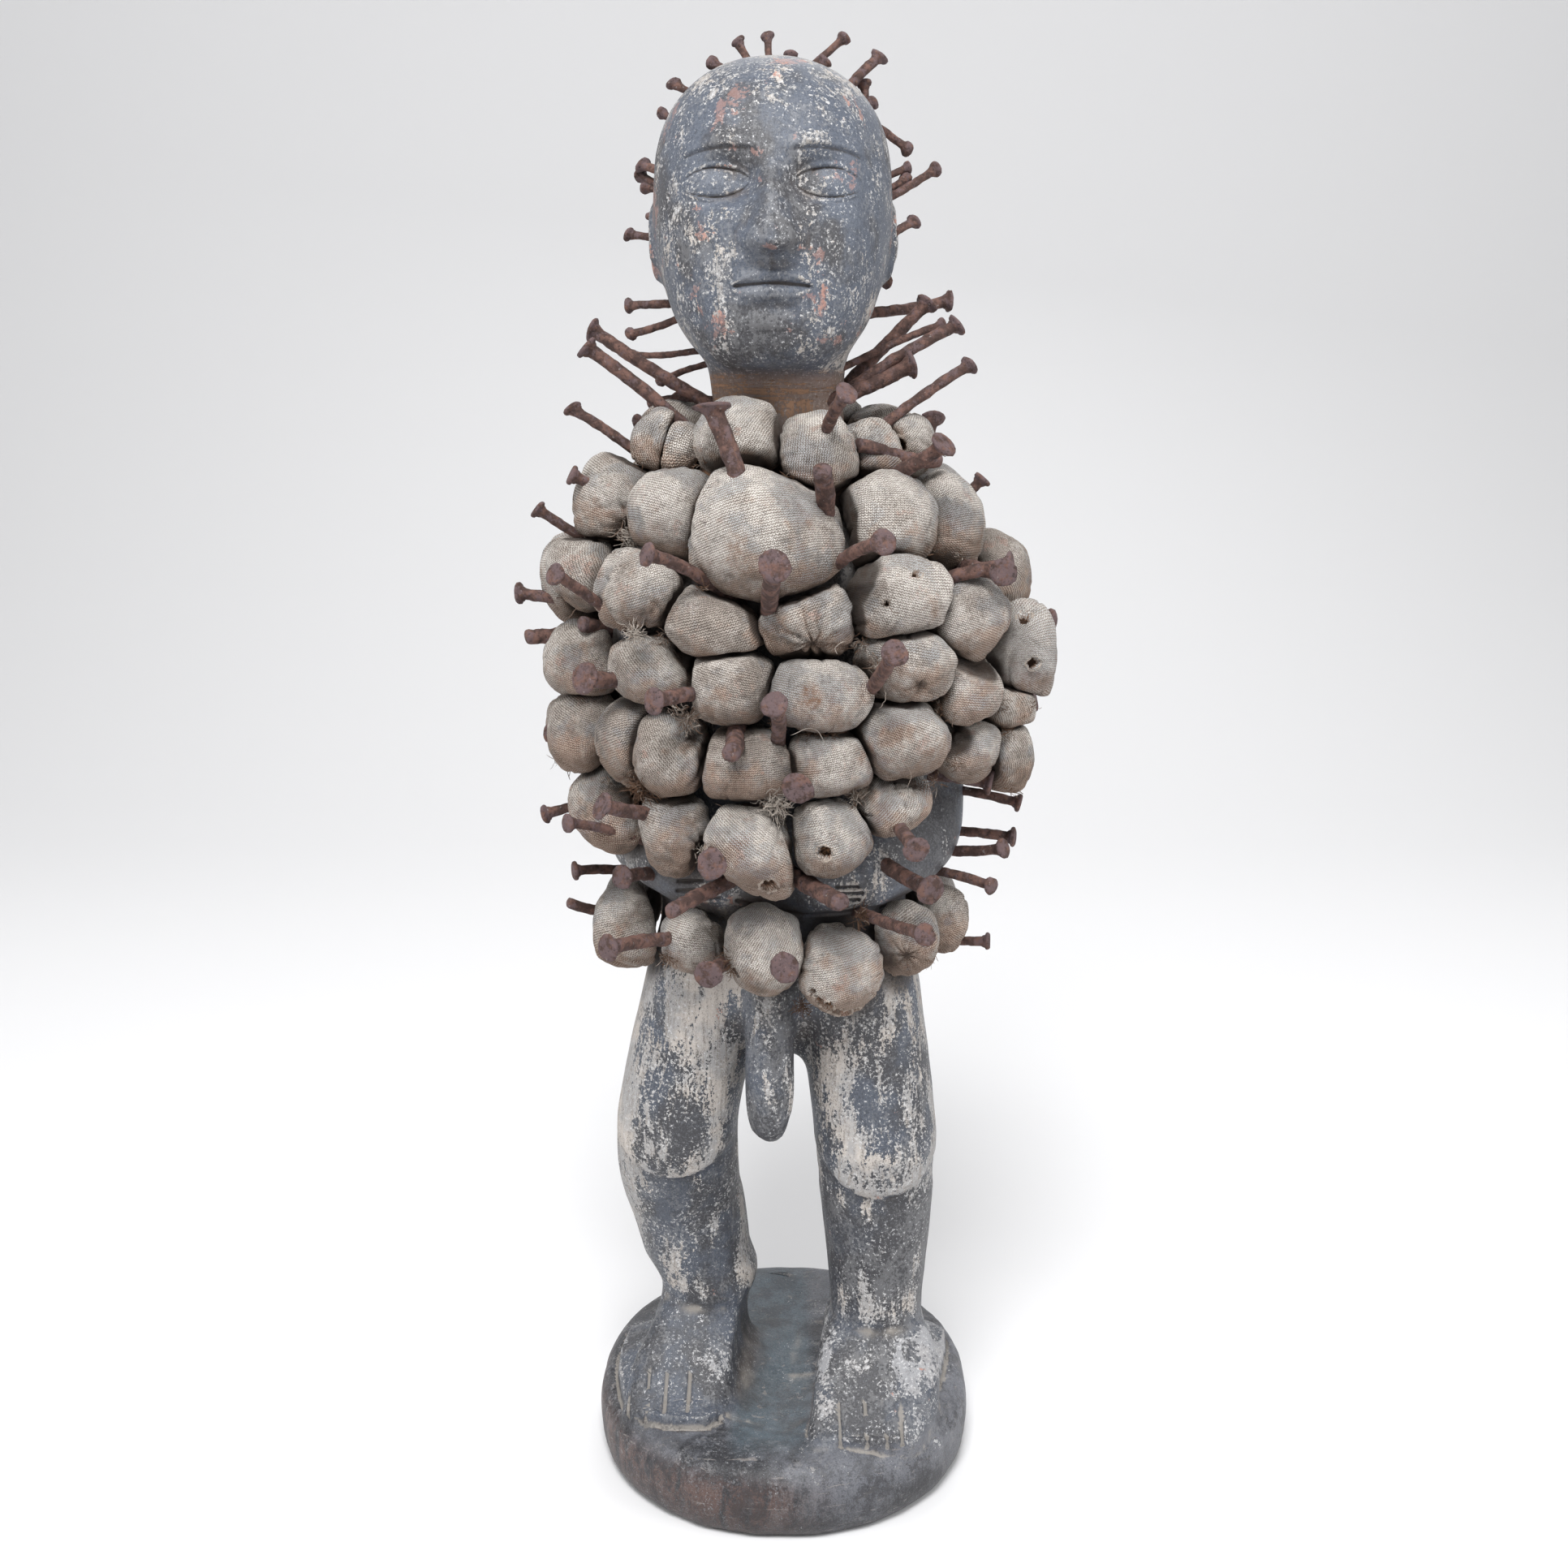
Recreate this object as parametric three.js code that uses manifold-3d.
// A standing nail figure: a figure carved with its round base from one log, stuffed cloth bundles tied
// round its body in rows, and iron nails driven in between them.
// Sizes are in millimetres. The carving and the bundles keep their proportions to the figure's height: what
// is called a share is in thousandths of it. Z is up, the figure faces -Y and +X is its own left, at the
// picture's right. The origin is the middle of the base's underside.
import * as THREE from "three";
import { mergeVertices } from "three/addons/utils/BufferGeometryUtils.js";
import Module from "manifold-3d";

const FIGURE_HEIGHT = 950;
const SHARE = FIGURE_HEIGHT / 1000;

// Gaps between touching pieces, and the smallest edge that is kept
const GAP = 0.3;
const WOOD_GAP = 0.45;
const SLIVER = 0.12;

// Base
const BASE_HALF_WIDTH = 132;
const BASE_HALF_DEPTH = 141;
const BASE_HEIGHT = 50;
const BASE_EDGE = 11;
const CHANNEL_HALF_WIDTH = 40;
const CHANNEL_DEPTH = 7;

// Cut grooves
const TOE_GROOVE_WIDTH = 3;
const TOE_GROOVE_DEPTH = 5;
const FINGER_GROOVE = 3;

// Feet, legs and body, in shares
const FOOT_TOP = 120;
const TOE_TOP = 65;
const TOE_LENGTH = 27;
const ANKLE_HEIGHT = 105;
const KNEE_HEIGHT = 234;
const KNEECAP_STEP = 4;
const CROTCH_HEIGHT = 320;
const HIP_HEIGHT = 398;
const BELLY_HEIGHT = 463;
const CHEST_HEIGHT = 621;
const SHOULDER_HEIGHT = 703;
const NECK_RADIUS = 46;
const ELBOW_HEIGHT = 486;
const ELBOW_SPREAD = 97;
const FOREARM_RADIUS = 29.5;
const HAND_THICKNESS = 18;

// Head, in shares, laid out upright from the chin and then tilted back
const HEAD_HEIGHT = 215;
const HEAD_WIDTH = 162;
const HEAD_DEPTH = 194;
const HEAD_TILT = THREE.MathUtils.degToRad(10);
const CHIN_HEIGHT = 1000 - HEAD_HEIGHT;
const HEAD_X = -7.5;
const NOSE_LENGTH = 55;
const NOSE_WIDTH = 40;
const NOSE_RISE = 20;
const EYE_LINE = HEAD_HEIGHT * 0.52;
const EYE_SPREAD = 36;
const EYE_WIDTH = 42;
const EYE_HEIGHT = 18;
const MOUTH_WIDTH = 55;
const EAR_HEIGHT = 55;

// Bundles: how many times its seen outline a bundle bulges under its neighbours, and how far two of a row lap
const BUNDLE_BULGE = 1.32;
const BUNDLE_LAP = 1.2;
const BUNDLE_SIDES = 7;
const LEAST_REACH = 4;
const LEAST_STAND_OFF = 12;
const LEAST_SHARED = 60;
const NEAREST_SIDE = 0.3;

// Nails
const SHANK = 8.8;
const HEAD_OF_NAIL = 17;
const HEAD_THICKNESS = 3.4;
const NAIL_SIDES = 5;
const DRIVEN_IN = 40;

// The photograph's camera, by which a pixel of its 1932 x 1932 frame becomes a line of sight
const PHOTO_CENTRE = 966;
const PHOTO_FOCAL = 2147;
const CAMERA_DISTANCE = 1210.5 * SHARE;
const CAMERA_HEIGHT = 800 * SHARE;
const CAMERA_PITCH = THREE.MathUtils.degToRad(13.5);

const wasm = await Module();
wasm.setup();

const X = new THREE.Vector3(1, 0, 0);
const Y = new THREE.Vector3(0, 1, 0);
const Z = new THREE.Vector3(0, 0, 1);

function solidOf(geometry) {
  const bare = geometry.clone();
  bare.deleteAttribute("normal");
  bare.deleteAttribute("uv");
  const merged = mergeVertices(bare, 1e-3);
  const mesh = new wasm.Mesh({
    numProp: 3,
    vertProperties: new Float32Array(merged.attributes.position.array),
    triVerts: new Uint32Array(merged.index.array),
  });
  return new wasm.Manifold(mesh);
}

// A solid as a three.js geometry, without the slivers that joining and cutting leave.
function geometryOf(solid) {
  const mesh = solid.simplify(SLIVER).getMesh();
  const geometry = new THREE.BufferGeometry();
  geometry.setAttribute("position", new THREE.BufferAttribute(mesh.vertProperties, 3));
  geometry.setIndex(new THREE.BufferAttribute(mesh.triVerts, 1));
  geometry.computeVertexNormals();
  return geometry;
}

function joined(solids) {
  return solids.reduce((all, next) => all.add(next));
}

// Rings of points

// One ring of a skin: an ellipse, or with a power over 2 a squarer outline, in the plane of u and v.
function ring(centre, u, v, halfU, halfV, sides, power = 2) {
  const soften = (value) => Math.sign(value) * Math.abs(value) ** (2 / power);
  return Array.from({ length: sides }, (_, i) => {
    const angle = (2 * Math.PI * (i + 0.5)) / sides;
    return centre
      .clone()
      .addScaledVector(u, halfU * soften(Math.cos(angle)))
      .addScaledVector(v, halfV * soften(Math.sin(angle)));
  });
}

// A closed skin over rings that each have the same number of points, with both ends fanned to their middle.
function skin(rings) {
  const sides = rings[0].length;
  const points = rings.flat();
  const faces = [];
  const last = (rings.length - 1) * sides;
  for (let start = 0; start < last; start += sides)
    for (let i = 0; i < sides; i++) {
      const a = start + i;
      const b = start + ((i + 1) % sides);
      faces.push(a, b, b + sides, a, b + sides, a + sides);
    }
  const middle = (list) =>
    list.reduce((sum, p) => sum.add(p), new THREE.Vector3()).divideScalar(sides);
  points.push(middle(rings[0]), middle(rings[rings.length - 1]));
  for (let i = 0; i < sides; i++) {
    const next = (i + 1) % sides;
    faces.push(points.length - 2, next, i, points.length - 1, last + i, last + next);
  }
  const geometry = new THREE.BufferGeometry().setFromPoints(points);
  geometry.setIndex(faces);
  return solidOf(geometry);
}

// The stations of a limb with smooth ones put in between. Each station is a place, a half width and a half
// depth, all in shares.
function smoothed(stations, steps) {
  const places = stations.map(([x, y, z]) => new THREE.Vector3(x, y, z).multiplyScalar(SHARE));
  const sizes = stations.map(([, , , width, depth]) =>
    new THREE.Vector3(width, depth, 0).multiplyScalar(SHARE),
  );
  const path = new THREE.CatmullRomCurve3(places, false, "catmullrom", 0.5);
  const girth = new THREE.CatmullRomCurve3(sizes, false, "catmullrom", 0.5);
  const count = (stations.length - 1) * steps;
  return Array.from({ length: count + 1 }, (_, i) => {
    const t = i / count;
    const size = girth.getPoint(t);
    return { at: path.getPoint(t), along: path.getTangent(t), width: size.x, depth: size.y };
  });
}

// A limb with level sections, from stations [x, y, z, half width, half depth] that climb in z.
function upright(stations, sides, steps, grow = 0, power = 2) {
  const rings = smoothed(stations, steps).map((s) =>
    ring(s.at, X, Y, s.width + grow, s.depth + grow, sides, power),
  );
  rings[0].forEach((p) => (p.z -= grow));
  rings[rings.length - 1].forEach((p) => (p.z += grow));
  return skin(rings);
}

// A limb with sections square to its path: width is then its half height and depth its half thickness.
function bent(stations, sides, steps, grow = 0) {
  const rings = smoothed(stations, steps).map((s) => {
    const across = new THREE.Vector3().crossVectors(Z, s.along).normalize();
    const up = new THREE.Vector3().crossVectors(s.along, across);
    return ring(s.at, across, up, s.depth + grow, s.width + grow, sides);
  });
  return skin(rings);
}

// A ball with its middle and half sizes in shares.
function ball([x, y, z], halves, around = 12, bands = 6, grow = 0) {
  const [halfX, halfY, halfZ] = halves.map((half) => half * SHARE + grow);
  const geometry = new THREE.SphereGeometry(1, around, bands);
  geometry.scale(halfX, halfY, halfZ).translate(x * SHARE, y * SHARE, z * SHARE);
  return solidOf(geometry);
}

// The carved figure

function base() {
  const rings = [
    [0, BASE_EDGE * 0.5],
    [BASE_EDGE * 0.5, 0],
    [BASE_HEIGHT - BASE_EDGE, 0],
    [BASE_HEIGHT - BASE_EDGE * 0.3, BASE_EDGE * 0.45],
    [BASE_HEIGHT, BASE_EDGE * 1.2],
  ].map(([z, inset]) =>
    ring(new THREE.Vector3(0, 0, z), X, Y, BASE_HALF_WIDTH - inset, BASE_HALF_DEPTH - inset, 24, 2.15),
  );
  const channel = new THREE.SphereGeometry(1, 12, 4);
  channel.scale(CHANNEL_HALF_WIDTH, BASE_HALF_DEPTH * 0.86, CHANNEL_DEPTH);
  channel.translate(-6, 10, BASE_HEIGHT);
  return skin(rings).subtract(solidOf(channel));
}

// A foot is a skin of sections square to its length, from the heel to the blunt front of the toes, sunk in
// the base. Each station is how far it is from ankle to toes, the section's middle and half width, and its
// top. Four grooves part the toes.
function foot(ankleY, toeY, stations, grooves) {
  const bottom = BASE_HEIGHT - CHANNEL_DEPTH - 4;
  const sections = stations.map(([along, x, halfWidth, top]) => {
    const y = THREE.MathUtils.lerp(ankleY, toeY, along) * SHARE;
    const middle = new THREE.Vector3(x * SHARE, y, (bottom + top * SHARE) / 2);
    return ring(middle, X, Z, halfWidth * SHARE, (top * SHARE - bottom) / 2, 12, 3.2);
  });
  return grooves.reduce((made, x) => {
    const groove = new THREE.BoxGeometry(TOE_GROOVE_WIDTH, TOE_LENGTH * SHARE, TOE_GROOVE_DEPTH * 2);
    groove.rotateX(THREE.MathUtils.degToRad(40));
    groove.translate(x * SHARE, (toeY + TOE_LENGTH * 0.36) * SHARE, (TOE_TOP + 2) * SHARE);
    return made.subtract(solidOf(groove));
  }, skin(sections));
}

function feet() {
  const right = [
    [-0.4, -53, 28, FOOT_TOP - 23],
    [-0.2, -54, 35, FOOT_TOP],
    [0.35, -63, 38, FOOT_TOP - 3],
    [0.6, -74, 39, FOOT_TOP - 23],
    [0.95, -81, 39, TOE_TOP + 2],
    [1, -81, 37, TOE_TOP - 5.5],
  ];
  const left = [
    [-0.4, 67, 28, FOOT_TOP - 23],
    [-0.2, 68, 35, FOOT_TOP],
    [0.35, 69, 44, FOOT_TOP - 1],
    [0.6, 68, 47, FOOT_TOP - 21],
    [0.95, 57, 39, TOE_TOP + 2],
    [1, 55, 36, TOE_TOP - 5.5],
  ];
  return [
    foot(6.5, -84, right, [-107, -93, -80, -63]),
    foot(-19, -118, left, [40, 59, 73, 84]),
  ];
}

function legs(grow = 0) {
  const bottom = BASE_HEIGHT / SHARE - 8.5;
  const right = [
    [-53, 4, bottom, 38, 44],
    [-54, 6.5, ANKLE_HEIGHT, 36, 40],
    [-64, 8.5, (ANKLE_HEIGHT + KNEE_HEIGHT) / 2 + 6.5, 42, 45],
    [-77, -10.5, KNEE_HEIGHT, 44, 47],
    [-78, -14.5, KNEE_HEIGHT + 32, 44, 51],
    [-65, -8.5, CROTCH_HEIGHT + 6.5, 45, 55],
    [-48, -2, HIP_HEIGHT, 45, 59],
  ];
  const left = [
    [71, -27, bottom, 36, 44],
    [69, -25, ANKLE_HEIGHT, 32, 40],
    [69, -21, (ANKLE_HEIGHT + KNEE_HEIGHT) / 2 + 6.5, 38, 45],
    [67, -29, KNEE_HEIGHT, 43, 48],
    [66, -27, KNEE_HEIGHT + 32, 44, 52],
    [58, -17, CROTCH_HEIGHT + 6.5, 45, 56],
    [47, -6.5, HIP_HEIGHT, 46, 59],
  ];
  return [upright(right, 10, 2, grow, 2.3), upright(left, 10, 2, grow, 2.3)];
}

// The kneecap stands out from the shin as a low plate with a lower edge.
function kneecaps() {
  return [
    [-80, -15],
    [68, -33],
  ].map(([x, y]) => ball([x, y - KNEECAP_STEP, KNEE_HEIGHT + 23], [36, 47, 36], 10, 6));
}

function trunk(grow = 0) {
  const between = THREE.MathUtils.lerp;
  const stations = [
    [-2, -2, CROTCH_HEIGHT - 2, 46, 36],
    [-1, -2, between(CROTCH_HEIGHT, HIP_HEIGHT, 0.54), 86, 57],
    [0, 0, between(HIP_HEIGHT, BELLY_HEIGHT, 0.22), 91, 65],
    [0, 0, between(HIP_HEIGHT, BELLY_HEIGHT, 0.78), 88, 69],
    [0, 0, between(BELLY_HEIGHT, CHEST_HEIGHT, 0.1), 95, 73],
    [1, 0, between(BELLY_HEIGHT, CHEST_HEIGHT, 0.47), 116, 78],
    [1, 0, CHEST_HEIGHT, 128, 81],
    [0, 0, between(CHEST_HEIGHT, SHOULDER_HEIGHT, 0.58), 116, 74],
    [-2, 0, SHOULDER_HEIGHT, 88, 61],
    [-3, 1, SHOULDER_HEIGHT + 32, 55, 48],
  ];
  return upright(stations, 14, 1, grow, 2.3);
}

function neck(grow = 0) {
  const stations = [
    [-4, 2, SHOULDER_HEIGHT + 10.5, NECK_RADIUS + 3, NECK_RADIUS + 3],
    [-4, 4, CHIN_HEIGHT - 21, NECK_RADIUS, NECK_RADIUS],
    [-5.5, 12.5, CHIN_HEIGHT + 42, NECK_RADIUS + 2, NECK_RADIUS + 2],
  ];
  return upright(stations, 14, 2, grow);
}

// Each arm hangs inside the bundles, bends square at the elbow and lays its hand on the belly.
function arms(grow = 0) {
  const hand = -86;
  return [-1, 1].flatMap((side) => {
    const upper = [
      [side * ELBOW_SPREAD, 6.5, ELBOW_HEIGHT - 19, 27, 31],
      [side * (ELBOW_SPREAD + 3), 5.5, ELBOW_HEIGHT + 12.5, 31, 33],
      [side * (ELBOW_SPREAD - 2), 2, CHEST_HEIGHT, 29, 32],
    ];
    const fore = [
      [side * (ELBOW_SPREAD + 3), 17, ELBOW_HEIGHT, FOREARM_RADIUS, FOREARM_RADIUS],
      [side * ELBOW_SPREAD, -14.5, ELBOW_HEIGHT - 8.5, FOREARM_RADIUS + 2, FOREARM_RADIUS],
      [side * (ELBOW_SPREAD - 27), -55, ELBOW_HEIGHT - 18, FOREARM_RADIUS + 1, FOREARM_RADIUS - 3],
      [side * 42, hand + HAND_THICKNESS, ELBOW_HEIGHT - 26, FOREARM_RADIUS - 1, HAND_THICKNESS],
      [side * 12.5, hand + HAND_THICKNESS, ELBOW_HEIGHT - 33, FOREARM_RADIUS - 5.5, HAND_THICKNESS],
    ];
    return [upright(upper, 10, 1, grow), bent(fore, 10, 2, grow)];
  });
}

// Three grooves part the four fingers of each hand.
function fingerGrooves() {
  return [-1, 1].flatMap((side) =>
    [-10.5, 0, 10.5].map((lift) => {
      const groove = new THREE.CylinderGeometry(FINGER_GROOVE * 0.7, FINGER_GROOVE * 0.7, 27 * SHARE, 3);
      groove.rotateZ(Math.PI / 2).rotateY(side * 0.12);
      groove.translate(side * 24 * SHARE, -92.5 * SHARE, (ELBOW_HEIGHT - 30.5 + lift) * SHARE);
      return solidOf(groove);
    }),
  );
}

function loins(grow = 0) {
  const stations = [
    [-10.5, -69, 267, 7.5, 7.5],
    [-10.5, -69, 274, 14.5, 13.5],
    [-10.5, -69, 300, 17.5, 16.5],
    [-10.5, -65, 347, 17, 17],
    [-10.5, -53, 392, 18, 18],
  ];
  return upright(stations, 10, 1, grow);
}

// The head is worked upright in shares, with its chin at z = 0 and the middle of its neck at y = 0.
function skull(grow = 0) {
  const half = HEAD_WIDTH / 2;
  const deep = HEAD_DEPTH / 2;
  const stations = [
    [0, -46, 0, half * 0.3, deep * 0.2],
    [0, -36, HEAD_HEIGHT * 0.05, half * 0.56, deep * 0.48],
    [0, -20, HEAD_HEIGHT * 0.19, half * 0.82, deep * 0.74],
    [0, -7.5, HEAD_HEIGHT * 0.4, half * 0.97, deep * 0.95],
    [0, 0, HEAD_HEIGHT * 0.6, half, deep],
    [0, 4, HEAD_HEIGHT * 0.77, half * 0.94, deep * 0.92],
    [0, 6.5, HEAD_HEIGHT * 0.9, half * 0.71, deep * 0.7],
    [0, 8.5, HEAD_HEIGHT * 0.975, half * 0.39, deep * 0.39],
    [0, 8.5, HEAD_HEIGHT, half * 0.12, deep * 0.12],
  ];
  return upright(stations, 18, 2, grow, 2.2);
}

function ears(grow = 0) {
  const middle = EYE_LINE - 15;
  const half = HEAD_WIDTH / 2;
  return [-1, 1].map((side) => {
    const shell = ball([side * (half - 3), 12.5, middle], [9.5, 18, EAR_HEIGHT / 2], 8, 6, grow);
    const bowl = ball([side * (half + 9.5), 8.5, middle], [7.5, 10.5, EAR_HEIGHT * 0.3], 8, 4);
    return grow ? shell : shell.subtract(bowl);
  });
}

function carvedHead() {
  const noseBase = EYE_LINE + 8.5 - NOSE_LENGTH;
  const face = -HEAD_DEPTH / 2;
  const sunk = 21;
  const nose = skin(
    [
      [0, NOSE_WIDTH / 2, NOSE_RISE],
      [0.22, NOSE_WIDTH / 2, NOSE_RISE * 0.95],
      [0.45, NOSE_WIDTH * 0.3, NOSE_RISE * 0.75],
      [1, NOSE_WIDTH * 0.2, NOSE_RISE * 0.2],
    ].map(([along, halfWidth, rise]) => {
      const at = new THREE.Vector3(0, face + sunk, noseBase + along * NOSE_LENGTH);
      return ring(at.multiplyScalar(SHARE), X, Y, halfWidth * SHARE, (rise + sunk) * SHARE, 10, 2.4);
    }),
  );
  const sockets = [-1, 1].map((side) =>
    ball([side * EYE_SPREAD, face - 2, EYE_LINE], [EYE_WIDTH * 0.72, sunk - 1, EYE_HEIGHT * 1.15]),
  );
  const eyes = [-1, 1].map((side) =>
    ball([side * EYE_SPREAD, face + 29.5, EYE_LINE], [EYE_WIDTH / 2, sunk - 2, EYE_HEIGHT / 2], 10, 4),
  );
  const mouth = noseBase - 18;
  const lips = [
    ball([0, face + sunk, mouth + 5.5], [MOUTH_WIDTH / 2, sunk, 7.5], 10, 4),
    ball([0, face + sunk + 2, mouth - 6.5], [MOUTH_WIDTH * 0.44, sunk, 7.5], 10, 4),
  ];
  const hollowed = sockets.reduce((head, socket) => head.subtract(socket), skull());
  return joined([hollowed, ...eyes, nose, ...lips, ...ears()]);
}

// The head is tilted back, and raised until its crown is at the figure's height.
function placedHead(solid) {
  const tilt = new THREE.Matrix4().makeRotationX(-HEAD_TILT).toArray();
  const crown = skull().transform(tilt).boundingBox().max[2];
  return solid.transform(tilt).translate([HEAD_X * SHARE, 6.5 * SHARE, FIGURE_HEIGHT - crown]);
}

// The wood that bundles and nails are cut back to, a gap larger all round.
function grownWood() {
  return joined([
    ...legs(WOOD_GAP),
    trunk(WOOD_GAP),
    neck(WOOD_GAP),
    ...arms(WOOD_GAP),
    loins(WOOD_GAP),
    placedHead(joined([skull(WOOD_GAP), ...ears(WOOD_GAP)])),
  ]);
}

function figure() {
  const whole = joined([
    base(),
    ...feet(),
    ...legs(),
    ...kneecaps(),
    trunk(),
    neck(),
    ...arms(),
    loins(),
    placedHead(carvedHead()),
  ]);
  return fingerGrooves().reduce((wood, groove) => wood.subtract(groove), whole);
}

// The photograph's sight lines

function sight(pixelX, pixelY) {
  const right = (pixelX - PHOTO_CENTRE) / PHOTO_FOCAL;
  const down = (pixelY - PHOTO_CENTRE) / PHOTO_FOCAL;
  const cos = Math.cos(CAMERA_PITCH);
  const sin = Math.sin(CAMERA_PITCH);
  return new THREE.Vector3(right, cos - down * sin, -sin - down * cos);
}

// The point of a pixel's sight line that lies y millimetres behind the figure's middle.
function seenAt(pixelX, pixelY, y) {
  const line = sight(pixelX, pixelY);
  return line
    .clone()
    .multiplyScalar((y + CAMERA_DISTANCE) / line.y)
    .add(new THREE.Vector3(0, -CAMERA_DISTANCE, CAMERA_HEIGHT));
}

// The point where a sight line first meets an upright oval, or, where it passes beside the oval, a point
// beside the oval's flank.
function seenOnOval(pixelX, pixelY, oval) {
  let y = 0;
  for (let pass = 0; pass < 12; pass++) {
    const x = (seenAt(pixelX, pixelY, y).x / SHARE - oval.midX) / oval.halfWidth;
    y = -oval.halfDepth * SHARE * Math.sqrt(Math.max(NEAREST_SIDE ** 2, 1 - x * x));
  }
  return seenAt(pixelX, pixelY, y);
}

// The bundles

// Each row lies on an oval through the middles of its bundles. A bundle of the front is given by the pixel
// of its middle and by its width and height, and those of the back part the rest of the oval between them.
// But for the pixels, all is in shares.
const ROWS = [
  {
    name: "collar",
    oval: { midX: 2, halfWidth: 74, halfDepth: 61 },
    lean: 0.5,
    front: [
      [814, 545, 32, 42],
      [838, 556, 38, 36],
      [918, 545, 53, 53],
      [1005, 568, 51, 57],
      [1070, 563, 44, 44],
      [1118, 548, 36, 38],
    ],
    back: { count: 4, height: 749, size: [57, 51] },
  },
  {
    name: "shoulder",
    oval: { midX: -5.5, halfWidth: 108, halfDepth: 82 },
    lean: 0.35,
    front: [
      [762, 615, 53, 61],
      [838, 635, 57, 55],
      [942, 660, 91, 80],
      [1085, 640, 61, 61],
      [1158, 648, 51, 61],
    ],
    back: { count: 5, height: 705, size: [65, 59] },
  },
  {
    name: "chest",
    oval: { midX: 6.5, halfWidth: 145, halfDepth: 95 },
    front: [
      [714, 705, 51, 48],
      [790, 727, 59, 53],
      [880, 763, 63, 45],
      [997, 765, 61, 48],
      [1103, 737, 67, 55],
      [1195, 765, 55, 53],
      [1260, 808, 38, 65],
    ],
    back: { count: 6, height: 653, size: [67, 57] },
  },
  {
    name: "ribs",
    oval: { midX: 2, halfWidth: 145, halfDepth: 100 },
    front: [
      [715, 812, 57, 48],
      [806, 820, 57, 46],
      [902, 845, 53, 51],
      [1010, 857, 63, 48],
      [1118, 818, 63, 55],
      [1190, 852, 55, 48],
      [1240, 868, 42, 42],
    ],
    back: { count: 6, height: 598, size: [67, 55] },
  },
  {
    name: "belly",
    oval: { midX: 2, halfWidth: 143, halfDepth: 100 },
    front: [
      [716, 900, 48, 57],
      [778, 915, 46, 57],
      [826, 928, 53, 57],
      [920, 943, 57, 53],
      [1018, 940, 53, 44],
      [1112, 910, 59, 53],
      [1192, 918, 44, 44],
      [1243, 928, 34, 48],
    ],
    back: { count: 6, height: 545, size: [67, 55] },
  },
  {
    name: "waist",
    oval: { midX: -2, halfWidth: 124, halfDepth: 102 },
    front: [
      [750, 990, 55, 51],
      [838, 1026, 46, 55],
      [925, 1042, 65, 59],
      [1022, 1032, 55, 51],
      [1098, 990, 46, 44],
    ],
    back: { count: 4, height: 495, size: [63, 53], from: 116 },
  },
  {
    name: "belt",
    oval: { midX: -1, halfWidth: 112, halfDepth: 84 },
    front: [
      [778, 1140, 55, 59],
      [860, 1156, 44, 44],
      [942, 1170, 55, 59],
      [1038, 1192, 59, 61],
      [1122, 1155, 44, 57],
      [1168, 1130, 32, 46],
    ],
    back: { count: 5, height: 413, size: [59, 53] },
  },
];

// The way out from a row's oval at a point on it, leaning back with the shoulders under the row.
function outward(point, { oval, lean = 0 }) {
  const x = (point.x - oval.midX * SHARE) / oval.halfWidth ** 2;
  const level = new THREE.Vector3(x, point.y / oval.halfDepth ** 2, 0).normalize();
  return level.multiplyScalar(Math.cos(lean)).addScaledVector(Z, Math.sin(lean));
}

function bundleAt(middle, row, face, width, height) {
  const out = outward(middle, row);
  const side = new THREE.Vector3().crossVectors(out, Z).normalize();
  return {
    middle,
    out,
    side,
    up: new THREE.Vector3().crossVectors(side, out),
    half: [width / 2, height / 2, 0.19 * (width + height)].map((size) => size * SHARE),
    group: row.name + "_bundles_" + face,
  };
}

function rowOf(row) {
  const front = row.front.map(([pixelX, pixelY, width, height]) =>
    bundleAt(seenOnOval(pixelX, pixelY, row.oval), row, "front", width, height),
  );
  const { count, height, size, from = 88 } = row.back;
  const back = Array.from({ length: count }, (_, i) => {
    const angle = THREE.MathUtils.degToRad(from + ((i + 0.5) * (360 - 2 * from)) / count);
    const middle = new THREE.Vector3(
      row.oval.midX + row.oval.halfWidth * Math.sin(angle),
      -row.oval.halfDepth * Math.cos(angle),
      height + 4 * Math.sin(5 * i),
    );
    return bundleAt(middle.multiplyScalar(SHARE), row, "back", size[0], size[1]);
  });
  return [...front, ...back];
}

// How far a bundle reaches from its middle in a direction, before its neighbours press on it.
function reach(bundle, way) {
  const [width, height, depth] = bundle.half;
  const a = way.dot(bundle.side) / width;
  const b = way.dot(bundle.up) / height;
  const c = way.dot(bundle.out) / depth;
  return BUNDLE_BULGE / Math.sqrt(a * a + b * b + c * c);
}

// Two bundles that press on each other meet in a plane between them: within one row piece they join there,
// and elsewhere a gap is left.
function presses(bundle, others, grow) {
  const found = [];
  for (const other of others) {
    if (other === bundle) continue;
    const way = other.middle.clone().sub(bundle.middle);
    const apart = way.length();
    way.normalize();
    const mine = reach(bundle, way);
    const theirs = reach(other, way.clone().negate());
    if (mine + theirs < apart) continue;
    const middle = Math.max(LEAST_REACH, (apart * mine) / (mine + theirs));
    const together = other.group === bundle.group;
    found.push({ way, limit: middle + (together ? BUNDLE_LAP : -GAP / 2) + grow });
  }
  return found;
}

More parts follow.
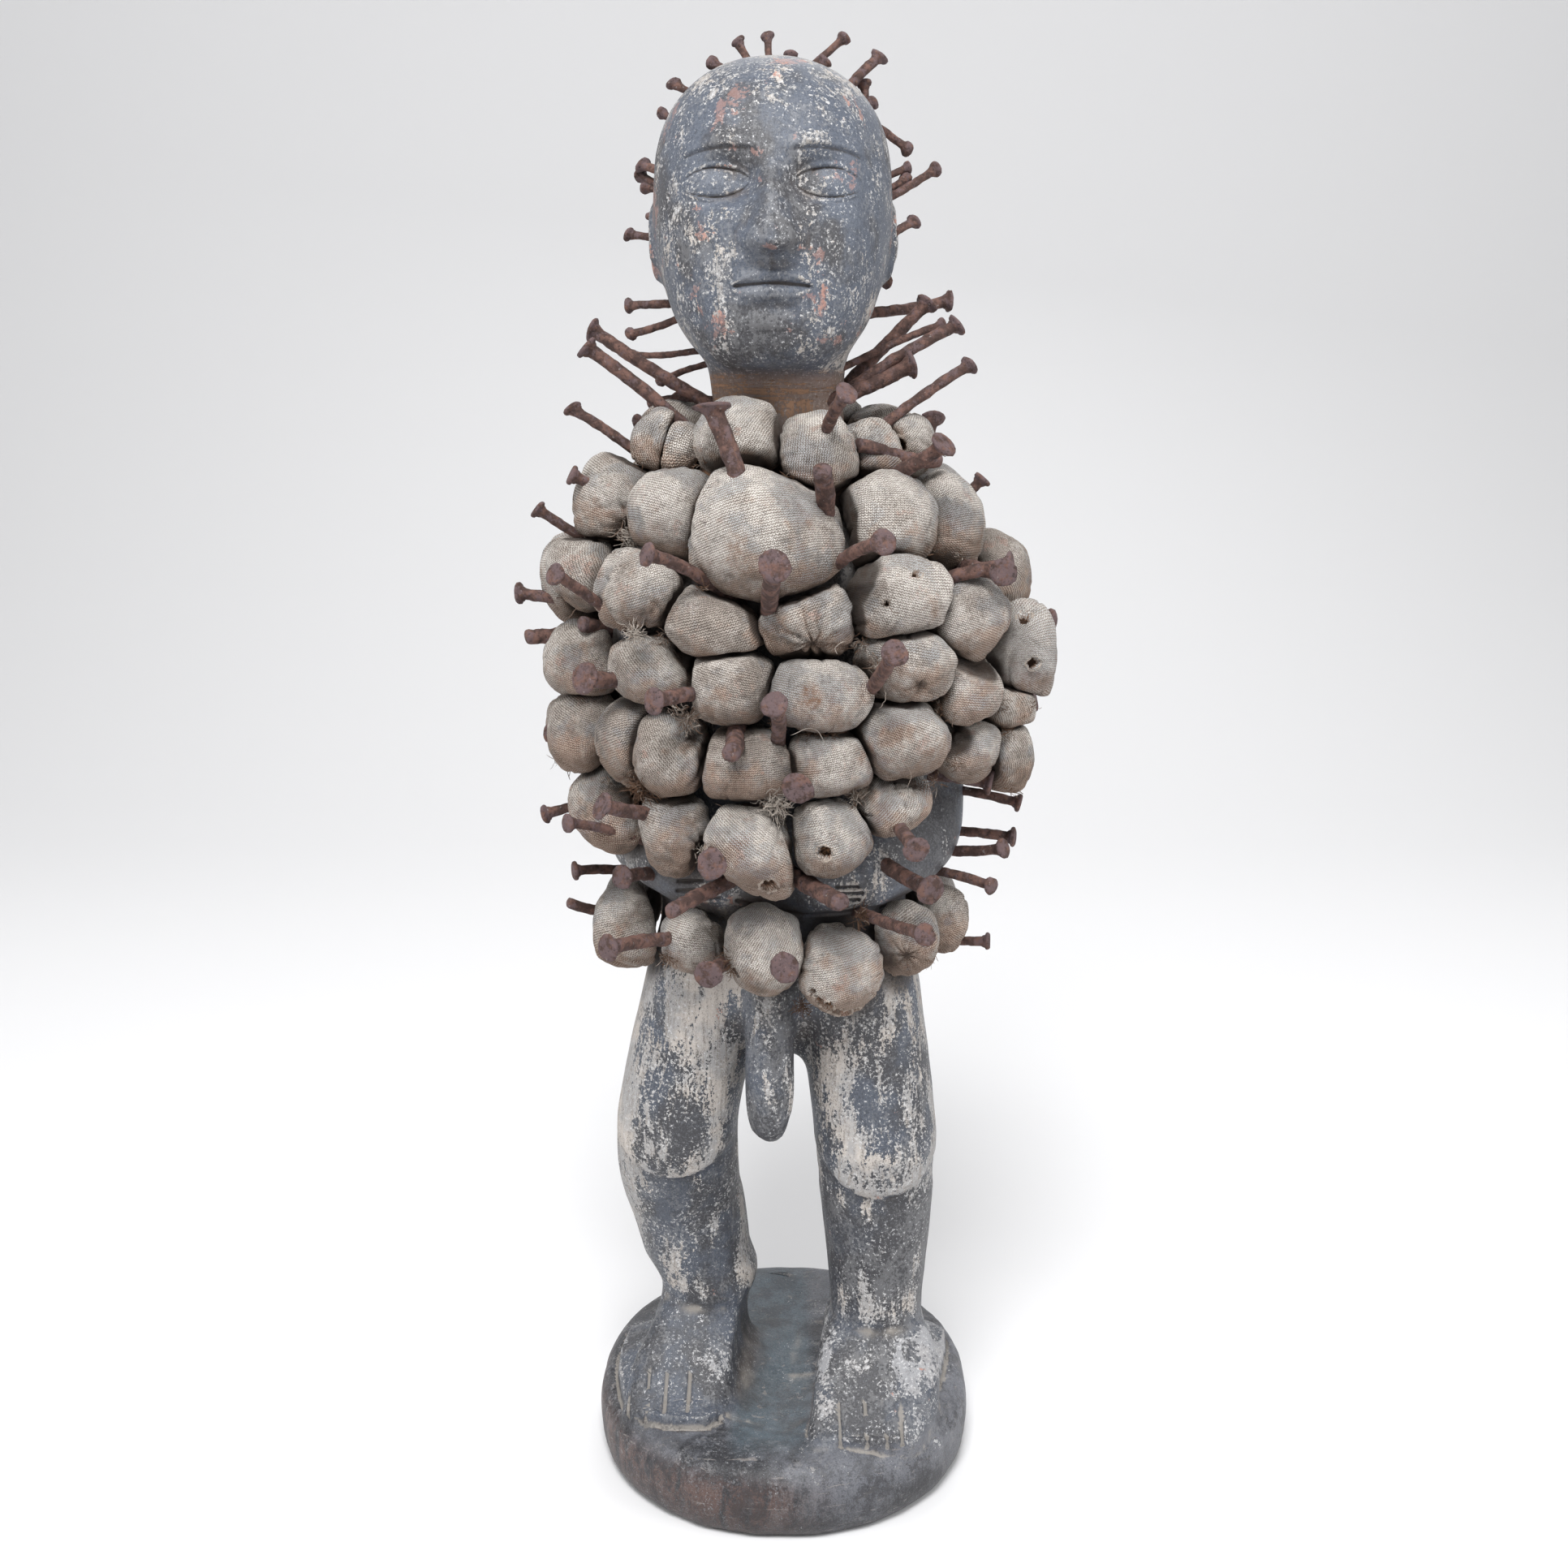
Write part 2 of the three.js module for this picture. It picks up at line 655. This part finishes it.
// The corners of a solid between two heights, with those of its outlines at the two heights.
function cornersBetween(solid, low, high) {
  const { vertProperties } = solid.getMesh();
  const corners = [];
  for (let i = 0; i < vertProperties.length; i += 3)
    if (vertProperties[i + 2] > low && vertProperties[i + 2] < high)
      corners.push(new THREE.Vector3().fromArray(vertProperties, i));
  for (const z of [low, high])
    for (const outline of solid.slice(z).toPolygons())
      corners.push(...outline.map(([x, y]) => new THREE.Vector3(x, y, z)));
  return corners;
}

// A bundle lies flat against the wood behind it, on the plane that the wood reaches over the bundle's
// height, and its middle stands off that plane.
function layAgainst(bundle, wood) {
  const { middle, out, up, half } = bundle;
  const rise = BUNDLE_BULGE * Math.hypot(half[1] * up.z, half[2] * out.z);
  const corners = cornersBetween(wood, middle.z - rise, middle.z + rise);
  const wall = Math.max(...corners.map((corner) => corner.dot(out)));
  const standOff = middle.dot(out) - wall;
  middle.addScaledVector(out, Math.max(0, LEAST_STAND_OFF - standOff));
  bundle.wall = { way: out.clone().negate(), limit: Math.max(LEAST_STAND_OFF, standOff) };
}

function bundleSolid(bundle, others, grow = 0) {
  const limits = [...presses(bundle, others, grow), bundle.wall];
  const tilts = [36, 74, 118].map(THREE.MathUtils.degToRad);
  const point = (tilt, turn) => {
    const way = bundle.out
      .clone()
      .multiplyScalar(Math.cos(tilt) * bundle.half[2])
      .addScaledVector(bundle.side, Math.sin(tilt) * Math.cos(turn) * bundle.half[0])
      .addScaledVector(bundle.up, Math.sin(tilt) * Math.sin(turn) * bundle.half[1])
      .multiplyScalar(BUNDLE_BULGE);
    way.setLength(way.length() + grow);
    for (const { way: toward, limit } of limits) {
      const far = way.dot(toward);
      if (far > limit) way.multiplyScalar(limit / far);
    }
    return way.add(bundle.middle);
  };
  const points = [point(0, 0)];
  const turns = Array.from({ length: BUNDLE_SIDES }, (_, i) => (2 * Math.PI * (i + 0.5)) / BUNDLE_SIDES);
  for (const tilt of tilts) points.push(...turns.map((turn) => point(tilt, turn)));
  points.push(point(Math.PI, 0));
  const faces = [];
  for (let i = 0; i < BUNDLE_SIDES; i++) {
    const next = (i + 1) % BUNDLE_SIDES;
    faces.push(0, 1 + next, 1 + i);
    for (let band = 0; band + 1 < tilts.length; band++) {
      const a = 1 + band * BUNDLE_SIDES;
      const b = a + BUNDLE_SIDES;
      faces.push(a + i, a + next, b + next, a + i, b + next, b + i);
    }
    const low = 1 + (tilts.length - 1) * BUNDLE_SIDES;
    faces.push(low + i, low + next, points.length - 1);
  }
  const geometry = new THREE.BufferGeometry().setFromPoints(points);
  geometry.setIndex(faces);
  return solidOf(geometry);
}

// Bundles side by side in one piece widen, a little at a time, until each pair really meets.
function crowd(bundles) {
  for (let pass = 0; pass < 24; pass++) {
    const apart = bundles.slice(1).flatMap((bundle, i) => {
      const last = bundles[i];
      if (last.group !== bundle.group) return [];
      const shared = bundleSolid(last, bundles).intersect(bundleSolid(bundle, bundles)).volume();
      return shared < LEAST_SHARED ? [last, bundle] : [];
    });
    if (!apart.length) return;
    for (const bundle of new Set(apart)) bundle.half[0] *= 1.05;
  }
}

// The nails

// Each nail is given by the pixels of its head and of where it goes in, and by how far behind the figure's
// middle each of the two lies, in shares. A last number makes it that many times as thick.
const NAILS = {
  head_nail: [
    [908, 48, 925, 78, 47, 42, 0.55],
    [946, 42, 952, 76, 55, 48, 0.5],
    [1042, 45, 1000, 83, 53, 44, 0.6],
    [1085, 68, 1043, 112, 51, 40, 0.75],
    [1120, 185, 1075, 155, 63, 48, 0.6],
    [1155, 207, 1098, 240, 48, 32, 0.6],
    [1128, 272, 1100, 290, 46, 32, 0.6],
    [827, 102, 852, 118, 46, 40, 0.55],
    [790, 203, 808, 212, 44, 36, 0.6],
    [772, 288, 803, 291, 44, 36, 0.55],
  ],
  neck_nail: [
    [773, 377, 806, 374, 59, 44, 0.6],
    [1172, 370, 1095, 382, 63, 44, 0.8],
    [1144, 372, 1045, 472, 36, 17, 1],
    [1181, 399, 1055, 473, 17, -6.5, 0.9],
    [1197, 448, 1080, 532, -21, -32, 0.75],
    [728, 405, 870, 495, 25, -2, 0.95],
    [720, 426, 850, 530, -12.5, -21, 0.95],
    [702, 502, 790, 562, -14.5, -21, 0.7],
    [876, 498, 912, 606, -97, -103, 1.25],
    [1044, 482, 1023, 525, -118, -84, 0.9],
  ],
  chest_nail: [
    [702, 584, 783, 622, -46, -36, 0.75],
    [660, 626, 730, 668, -14.5, -8.5, 0.7],
    [795, 682, 865, 715, -139, -103, 0.85],
    [682, 706, 765, 770, -101, -65, 0.85],
    [637, 731, 710, 742, 4, -4, 0.85],
    [955, 697, 950, 744, -185, -118, 1.15],
    [1091, 668, 1040, 691, -147, -105, 0.9],
    [1166, 546, 1100, 585, -80, -60, 1],
    [1212, 588, 1170, 637, -10.5, -14.5, 0.75],
    [1248, 695, 1166, 717, -78, -65, 0.95],
    [1296, 764, 1275, 765, 6.5, 0, 0.85],
    [1103, 803, 1079, 841, -160, -118, 1],
  ],
  belly_nail: [
    [954, 866, 957, 905, -158, -116, 1],
    [740, 993, 798, 1002, -131, -97, 1],
    [669, 1004, 720, 997, -8.5, -6.5, 0.75],
    [697, 1014, 760, 1027, -84, -66, 0.75],
    [1130, 1049, 1106, 1019, -156, -105, 0.95],
    [1258, 990, 1179, 974, -12.5, 0, 0.75],
    [1251, 1032, 1178, 1025, 2, 6.5, 0.75],
    [1239, 1045, 1160, 1045, -38, -17, 0.8],
    [1224, 1092, 1160, 1075, -59, -32, 0.75],
    [706, 1073, 765, 1075, -12.5, 0, 0.75],
    [747, 1169, 821, 1158, -133, -93, 1],
    [1141, 1152, 1070, 1128, -149, -84, 0.85],
    [1220, 1160, 1160, 1155, -19, -14.5, 0.75],
  ],
};

// A nail along +Z, with its head's outer face at z = 0.
function nailSolid(length, thicker) {
  const shank = (SHANK / 2) * thicker;
  const head = (HEAD_OF_NAIL / 2) * thicker;
  const rings = [
    [-length, shank * 0.9],
    [-HEAD_THICKNESS - 3, shank],
    [-HEAD_THICKNESS, head],
    [0, head * 0.85],
  ].map(([z, radius]) => ring(new THREE.Vector3(0, 0, z), X, Y, radius, radius, NAIL_SIDES));
  return skin(rings);
}

// How far the middle of a piece's box lies from a point.
function farFrom(point, piece) {
  const { min, max } = piece.boundingBox();
  return new THREE.Vector3(...min).add(new THREE.Vector3(...max)).multiplyScalar(0.5).distanceTo(point);
}

// A nail's mesh, placed by its own position and turn, and cut back to what it is driven into.
function nail(name, [headX, headY, footX, footY, headDepth, footDepth, thicker], around) {
  const head = seenAt(headX, headY, headDepth * SHARE);
  const foot = seenAt(footX, footY, footDepth * SHARE);
  const back = head.clone().sub(foot);
  const length = back.length() + DRIVEN_IN;
  const turn = new THREE.Quaternion().setFromUnitVectors(Z, back.normalize());
  const frame = new THREE.Matrix4().compose(head, turn, new THREE.Vector3(1, 1, 1));
  const placed = nailSolid(length, thicker).transform(frame.toArray()).subtract(around);
  const pieces = placed.simplify(SLIVER).decompose();
  const seen = pieces.reduce((best, piece) => (farFrom(head, piece) < farFrom(head, best) ? piece : best));
  const home = seen.transform(frame.clone().invert().toArray());
  const mesh = new THREE.Mesh(geometryOf(home), IRON);
  mesh.name = name;
  mesh.position.copy(head);
  mesh.quaternion.copy(turn);
  return mesh;
}

// Materials and the whole

function finish(name, color, roughness, metalness) {
  return new THREE.MeshStandardMaterial({ name, color, roughness, metalness });
}

const WOOD = finish("wood", 0x4a4d52, 0.8, 0);
const CLOTH = finish("cloth", 0x8f8272, 0.95, 0);
const IRON = finish("iron", 0x5a4038, 0.9, 0.1);

const object = new THREE.Group();

const carved = new THREE.Mesh(geometryOf(figure()), WOOD);
carved.name = "figure";
object.add(carved);

const wood = grownWood();
const bundles = ROWS.flatMap(rowOf);
for (const bundle of bundles) layAgainst(bundle, wood);
crowd(bundles);
const clothing = new THREE.Group();
for (const group of new Set(bundles.map((bundle) => bundle.group))) {
  const mine = bundles.filter((bundle) => bundle.group === group);
  const row = joined(mine.map((bundle) => bundleSolid(bundle, bundles)));
  const mesh = new THREE.Mesh(geometryOf(row), CLOTH);
  mesh.name = group;
  clothing.add(mesh);
}
object.add(clothing);

const around = joined([wood, ...bundles.map((bundle) => bundleSolid(bundle, bundles, WOOD_GAP))]);
const ironwork = new THREE.Group();
for (const [kind, list] of Object.entries(NAILS))
  list.forEach((entry, i) => {
    const made = nail(kind + "_" + String(i + 1).padStart(2, "0"), entry, around);
    ironwork.add(made);
  });
object.add(ironwork);

export default object;
